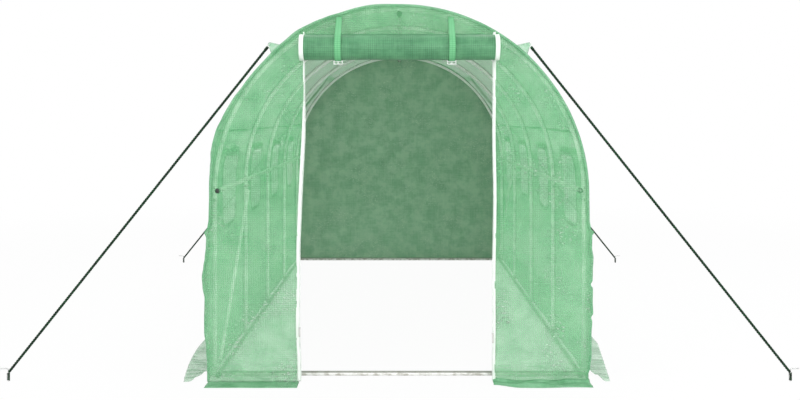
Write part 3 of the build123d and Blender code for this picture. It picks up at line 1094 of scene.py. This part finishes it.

# Flaps on the ground: strips of the cover that lie outside the walls, to be covered with soil.
# The side flaps are pleated at their ends; the one at the right of the doorway is crumpled.

# the side flaps have painted shade in their pleats
side_flap_finish = woven_sheet(
    "side_flap_sheet", tint(218, 246, 224), tint(176, 216, 186), clear=0.7, pleated=0.75
)
end_flap_finish = woven_sheet("end_flap_sheet", tint(150, 206, 166), tint(108, 176, 128), 0.16)
flap_low, flap_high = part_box("left_ground_flap")
flap_reach = -flap_low.x
flap_t = 0.0012
root_x = 1.0
root_y = end_y - 0.15
corner_y = flap_high.y - 0.001
taper_y = end_y - 0.74
for side, name in both_sides:
    bm = bmesh.new()
    bmesh.ops.create_grid(bm, x_segments=230, y_segments=12, size=0.5)
    for vert in bm.verts:
        far = vert.co.y + 0.5
        y = 2 * vert.co.x * (root_y + (corner_y - root_y) * smooth(0.1, 0.85, far))
        taper = max(0.0, (abs(y) - taper_y) / (corner_y - taper_y))
        narrow = 0.084 * taper**1.6 if side * y > 0 else 0.11 * taper
        vert.co = (y, far * (flap_reach - root_x - narrow), 0)

    def flap_point(y, out):
        far = out / (flap_reach - root_x)
        gathered = smooth(1.2, 2.0, abs(y))
        pleat = abs(sin(y * 35 + 2.2 * waves(y * 2, out * 3, 40.0 + side)))
        rise = 0.003 + 0.004 * (0.5 + 0.5 * waves(y * 3.5, out * 7, 41.0 + side))
        rise += (0.003 + 0.009 * gathered) * pleat**3 * (1 - 0.8 * far)
        rise += 0.02 * (1 - smooth(0.0, 0.16, far)) ** 2
        return Vector((side * (root_x + out), y, rise))

    drape(bm, flap_point)
    face_up(bm)
    laid = [f"{name}_ground_flap"]
    flap = piece(bm, f"{name}_side_flap", side_flap_finish, laid, flap_t)
    cut = (2 * corner_y, flap_reach - root_x)

end_reach = 0.0015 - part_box("front_ground_flaps")[0].y
rear_flap_low, rear_flap_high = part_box("rear_ground_flap")
for name, sheet, ends, crush, seed, end in (
    ("front_left_flap", "front_left_sheet", (-0.998, -zip_half - 0.003), 0.25, 51.0, -1),
    ("front_right_flap", "front_right_sheet", (0.487, 0.992), 1.0, 57.0, -1),
    ("rear_flap", "rear_sheet", (rear_flap_low.x, rear_flap_high.x), 0.5, 61.0, 1),
):
    root = -front_y(0.0) + 0.001 if end < 0 else rear_y(0.0)
    reach = end_reach if end < 0 else rear_flap_high.y
    bm = flat_sheet((ends[0], 0.0), (ends[1], reach - root), 0.0115)

    def end_flap_point(x, out):
        far = out / (reach - root)
        rise = 0.0012 + 0.002 * (0.5 + 0.5 * waves(x * 5, out * 9, seed))
        fold = crinkle(x * 3 + out * 5, out * 7 - x * 2, seed + 1)
        fold += 0.6 * crinkle(x * 8, out * 12, seed + 2)
        fold *= (0.3 + 0.7 * smooth(0.0, 0.4, far)) * (1 - smooth(0.7, 1.0, far))
        rise += crush * 0.012 * fold
        drawn = 0.001 + crush * 0.0015 * (1 + waves(x * 6.5, 3.0, seed + 3)) * far
        if crush == 1.0:
            # this one is rucked up against the foot of its panel
            ruck = 0.6 + 0.6 * waves(x * 7, 1.0, seed + 4)
            rise += 0.02 * (1 - smooth(0.0, 0.25, far)) ** 2 * ruck
            drawn += far * (0.05 * (1 - smooth(0.487, 0.62, x)) + 0.006 * smooth(0.7, 1.0, x))
        return Vector((x, end * (root + out - drawn), rise))

    drape(bm, end_flap_point)
    face_up(bm)
    replaced = ["front_ground_flaps"] if end < 0 else ["rear_ground_flap"]
    flap = piece(bm, name, end_flap_finish, replaced, flap_t)
    ends[1] - ends[0]
    reach - root

# Guy ropes: a triangular tab sewn into the corner seam of the roof, a three-strand polypropylene
# rope spliced to its ring, and a bent steel peg that the rope is lashed to.


def curve_tubes(runs, radius, rounds=1, closed=False):
    """Round tubes of one radius along runs of points."""
    curve = bpy.data.curves.new("runs", "CURVE")
    curve.dimensions = "3D"
    curve.bevel_depth = radius
    curve.bevel_resolution = rounds
    curve.use_fill_caps = True
    for points in runs:
        spline = curve.splines.new("POLY")
        spline.points.add(len(points) - 1)
        for slot_point, point in zip(spline.points, points):
            slot_point.co = (*point, 1)
        spline.use_cyclic_u = closed
    holder = bpy.data.objects.new("runs", curve)
    mesh = bpy.data.meshes.new_from_object(holder)
    bm = bmesh.new()
    bm.from_mesh(mesh)
    bpy.data.objects.remove(holder)
    bpy.data.curves.remove(curve)
    bpy.data.meshes.remove(mesh)
    bmesh.ops.recalc_face_normals(bm, faces=bm.faces)
    return bm


grey_wire, pale_wire = tint(168, 170, 170), tint(204, 205, 203)
galvanised = clouded(
    "galvanised_wire", 0.008, 4.0, grey_wire, pale_wire, 0.34, 0.22, 0.0002, 0.85
)
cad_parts["ground_pegs"].data.materials.clear()
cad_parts["ground_pegs"].data.materials.append(galvanised)

tab_r = 1.0036
tab_height = 0.058
tab_cut = 0.09
tab_base = radians(47.5)
tab_top = radians(52.5)
tab_lean = radians(49.0)
tab_y = end_y - 0.0065
tie_share = 0.8


def from_spring(radius, angle):
    return Vector((radius * cos(angle), 0, spring_z + radius * sin(angle)))


tab_foot = from_spring(tab_r, tab_base)
tab_tip = from_spring(tab_r + tab_height, tab_lean)
tie = tab_foot + (tab_tip - tab_foot) * tie_share
bm = bmesh.new()
for side in (-1, 1):
    for end in (-1, 1):
        tab = bmesh.new()
        bmesh.ops.create_grid(tab, x_segments=6, y_segments=6, size=0.5)
        keep_cut(tab, tab_cut)
        for vert in tab.verts:
            across, up = vert.co.x + 0.5, vert.co.y + 0.5
            root = from_spring(tab_r - 0.006, tab_base + (tab_top - tab_base) * across)
            tip = from_spring(tab_r + tab_height, tab_lean + 0.0115 * across)
            point = root.lerp(tip, up)
            bow = 0.004 * sin(up * pi) * sin(across * pi)
            vert.co = (side * point.x, end * (tab_y + bow), point.z)
        bmesh.ops.solidify(tab, geom=tab.faces[:], thickness=0.0022)
        bmesh.ops.recalc_face_normals(tab, faces=tab.faces)
        join(bm, tab)
piece(bm, "guy_tab_sheets", binding_finish, ["guy_tabs"])


def rope_finish():
    """Black and dark green polypropylene yarns, with a dull gloss."""
    paint = Paint("guy_rope")
    yarns = paint.fuzz(paint.place("Object", (1, 1, 0.4)), 0.004, 2.0)
    flecks = paint.step(yarns, 0.5, 0.58)
    sockets = {
        "Base Color": paint.mix(flecks, tint(9, 22, 13), tint(24, 76, 42)),
        "Roughness": 0.68,
        "Specular IOR Level": 0.25,
        "Normal": paint.bump(paint.fuzz(paint.place(), 0.0011, 2.0), 0.0004),
    }
    return paint.close(paint.principled(sockets))


def coil(steps, turns, point, start=0.0):
    """Points that wind round: each from its share of the way, the cosine and the sine."""
    shares = [step_on / steps for step_on in range(steps + 1)]
    wound = [2 * pi * (turns * share + start) for share in shares]
    return [point(share, cos(t), sin(t)) for share, t in zip(shares, wound)]


strand_r = 0.0036
strand_ring = 0.004
rope_pitch = 0.042
whip_r = 0.0062
lash_r = 0.0058
ring_r = 0.0085
peg_x = 2.05
rope_end_z = 0.045
runs = []
knots = []
rings = []
for side in (-1, 1):
    for end, peg_y in ((-1, -2.085), (1, 1.845)):
        start = Vector((side * tie.x, end * tab_y, tie.z))
        foot = Vector((side * peg_x, peg_y, rope_end_z))
        axis = (foot - start).normalized()
        across = axis.cross((0, 1, 0)).normalized()
        upward = axis.cross(across)
        first = start + axis * 0.006
        length = (foot - first).length - 0.004
        steps = int(length / rope_pitch * 10)

        def strand_point(share, a, b):
            return first + axis * length * share + (across * a + upward * b) * strand_ring

        def whip_point(share, a, b):
            return first + axis * (0.004 + 0.018 * share) + (across * a + upward * b) * whip_r

        def lash_point(share, a, b):
            return foot.x + lash_r * a, foot.y + lash_r * b, 0.0045 + 0.04 * share

        def ring_point(share, a, b):
            return start - axis * 0.002 + (axis * a + across * b) * ring_r

        for strand in range(3):
            runs.append(coil(steps, length / rope_pitch, strand_point, strand / 3))
        # the rope's end, whipped round it below the ring, and its other end, lashed to the peg
        knots += [coil(48, 3.5, whip_point), coil(72, 6, lash_point)]
        rings.append(coil(24, 1, ring_point)[:-1])
bm = curve_tubes(runs, strand_r)
join(bm, curve_tubes(knots, 0.0026))
piece(bm, "guy_rope_strands", rope_finish(), ["guy_ropes"])
piece(curve_tubes(rings, 0.0019, 2, closed=True), "tab_rings", moulded_finish)

# Floor, light and camera: a plain white floor under soft even light, seen from the photograph's
# place in front of the doorway, a little above a seated person's eyes.

floor_bm = flat_sheet((-30, -30), (30, 30), 30)
floor_mesh = bpy.data.meshes.new("floor")
floor_bm.to_mesh(floor_mesh)
floor_bm.free()
floor = add_object("floor", floor_mesh)


def seen_plainly(paint):
    """1 for a ray that shows the page itself: to the camera, by a reflection or through glass."""
    kinds = ("Is Camera Ray", "Is Glossy Ray", "Is Transmission Ray")
    rays = [paint.node("ShaderNodeLightPath", output=kind) for kind in kinds]
    return paint.math("MAXIMUM", paint.math("MAXIMUM", rays[0], rays[1]), rays[2])


paint = Paint("floor_white")
# the floor is as white as the page in plain view, and greyer where it is seen through the cloth
depth = paint.node("ShaderNodeLightPath", output="Transparent Depth")
bare = seen_plainly(paint) * (1 - 0.7 * paint.math("GREATER_THAN", depth, 0.5))
# far out the floor is plain white, so that its end isn't seen
far = paint.node("ShaderNodeVectorMath", {"operation": "LENGTH"}, {0: paint.place()}, 1)
matt = paint.node("ShaderNodeBsdfDiffuse", None, {"Color": (0.76, 0.76, 0.76, 1)})
lit = paint.node("ShaderNodeEmission", None, {"Color": plain_white, "Strength": 1.0})
white_share = bare * paint.step(far, 3.0, 9.0, 0.955, 1.0)
floor_mesh.materials.append(paint.close(paint.blend(white_share, matt, lit)))

sky_strength = 0.5
sky = Paint("studio", bpy.data.worlds)
strength = sky.step(seen_plainly(sky), 0.0, 1.0, sky_strength, 1.0)
shine = sky.node("ShaderNodeBackground", None, {"Color": plain_white, "Strength": strength})
bpy.context.scene.world = sky.close(shine, "ShaderNodeOutputWorld")

for name, place, aim, size, power in (
    ("front_light", (0.6, -9.0, 2.4), (0, -1.5, 0.9), 3.0, 285),
    ("key_light", (-4.5, -5.5, 5.0), (0, -1.0, 0.9), 4.0, 190),
    ("fill_light", (5.0, -3.5, 3.5), (0, -0.5, 0.9), 4.0, 130),
    ("top_light", (0.5, 1.0, 6.5), (0, 0, 0.5), 5.0, 240),
):
    lamp = bpy.data.lights.new(name, "AREA")
    lamp.size = size
    lamp.energy = power
    holder = add_object(name, lamp)
    holder.location = place
    holder.rotation_euler = (Vector(aim) - Vector(place)).to_track_quat("-Z", "Y").to_euler()

camera_y = -6.9265
camera_z = 1.3855
photo_width = 800
horizon_px = 117
middle_px = 399.4
focal_px = 923.3
lens = bpy.data.cameras.new("camera")
lens.sensor_width = 36.0
lens.lens = focal_px / photo_width * lens.sensor_width
lens.shift_x = (photo_width / 2 - middle_px) / photo_width
lens.shift_y = (horizon_px - photo_width / 4) / photo_width
camera = add_object("camera", lens)
camera.location = (0, camera_y, camera_z)
camera.rotation_euler = (pi / 2, 0, 0)
bpy.context.scene.camera = camera
bpy.context.scene.view_settings.view_transform = "Standard"
